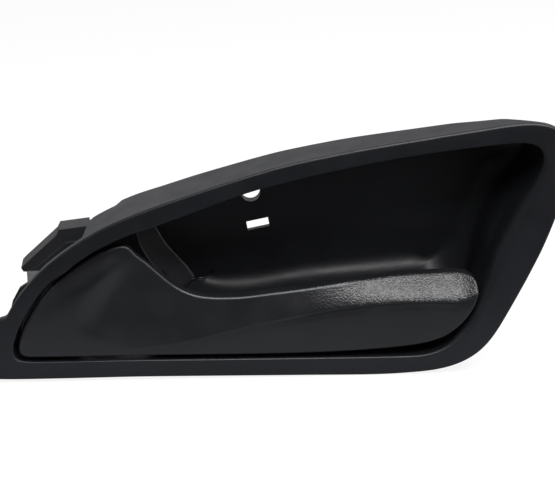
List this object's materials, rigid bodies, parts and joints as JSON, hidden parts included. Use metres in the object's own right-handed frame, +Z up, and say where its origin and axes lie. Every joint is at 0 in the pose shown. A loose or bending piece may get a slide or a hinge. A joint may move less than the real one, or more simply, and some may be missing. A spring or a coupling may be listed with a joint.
{
  "type": "interior car door handle",
  "caption": "Interior door release handle: finger-cup bezel with a flush pull lever hinged at one end, sprung shut, its cable arm and carrier behind.",
  "frame": {"origin": "centre of the rear mounting pad's face, where the handle bears on the door", "axes": "+X along the handle towards the grip end, +Y into the door, +Z up; the visible face looks towards -Y"},
  "size_m": [0.204, 0.04, 0.0918],
  "materials": {
    "bezel_plastic": "fine-grained black moulded plastic, satin",
    "lever_plastic": "black moulded plastic, satin, with leather grain on the grip",
    "inner_plastic": "glass-filled black plastic, matt",
    "steel": "zinc plated",
    "spring_steel": "oiled spring steel",
    "rubber": "matt",
    "clip_plastic": "natural acetal",
    "foam": "open-cell foam"
  },
  "bodies": {
    "housing": {"bezel_housing": "bezel_plastic", "rear_carrier": "inner_plastic", "hinge_pin": "steel", "pin_retaining_clip": "spring_steel", "return_spring": "spring_steel", "closed_stop_buffer": "rubber", "open_stop_buffer": "rubber", "cable_conduit_clip": "clip_plastic", "carrier_screw_1": "steel", "carrier_screw_2": "steel", "carrier_screw_3": "steel", "carrier_screw_4": "steel", "trim_clip_1": "spring_steel", "trim_clip_2": "spring_steel", "anti_rattle_pad_upper": "foam", "anti_rattle_pad_lower": "foam"},
    "lever": {"lever_front_shell": "lever_plastic", "lever_carrier": "inner_plastic", "hinge_bush_lower": "clip_plastic", "hinge_bush_upper": "clip_plastic", "cable_nipple_collar": "clip_plastic", "lever_screw_1": "steel", "lever_screw_2": "steel", "lever_screw_3": "steel"}
  },
  "joints": [
    {"name": "lever_hinge", "type": "hinge", "parent": "housing", "child": "lever", "pos_m": [-0.082, -0.03, -0.008], "axis": [0, 0, -1], "range_deg": [0, 38], "stiffness_Nm_per_rad": 0.35, "springref_deg": -22.92, "deforming": ["return_spring"]}
  ]
}
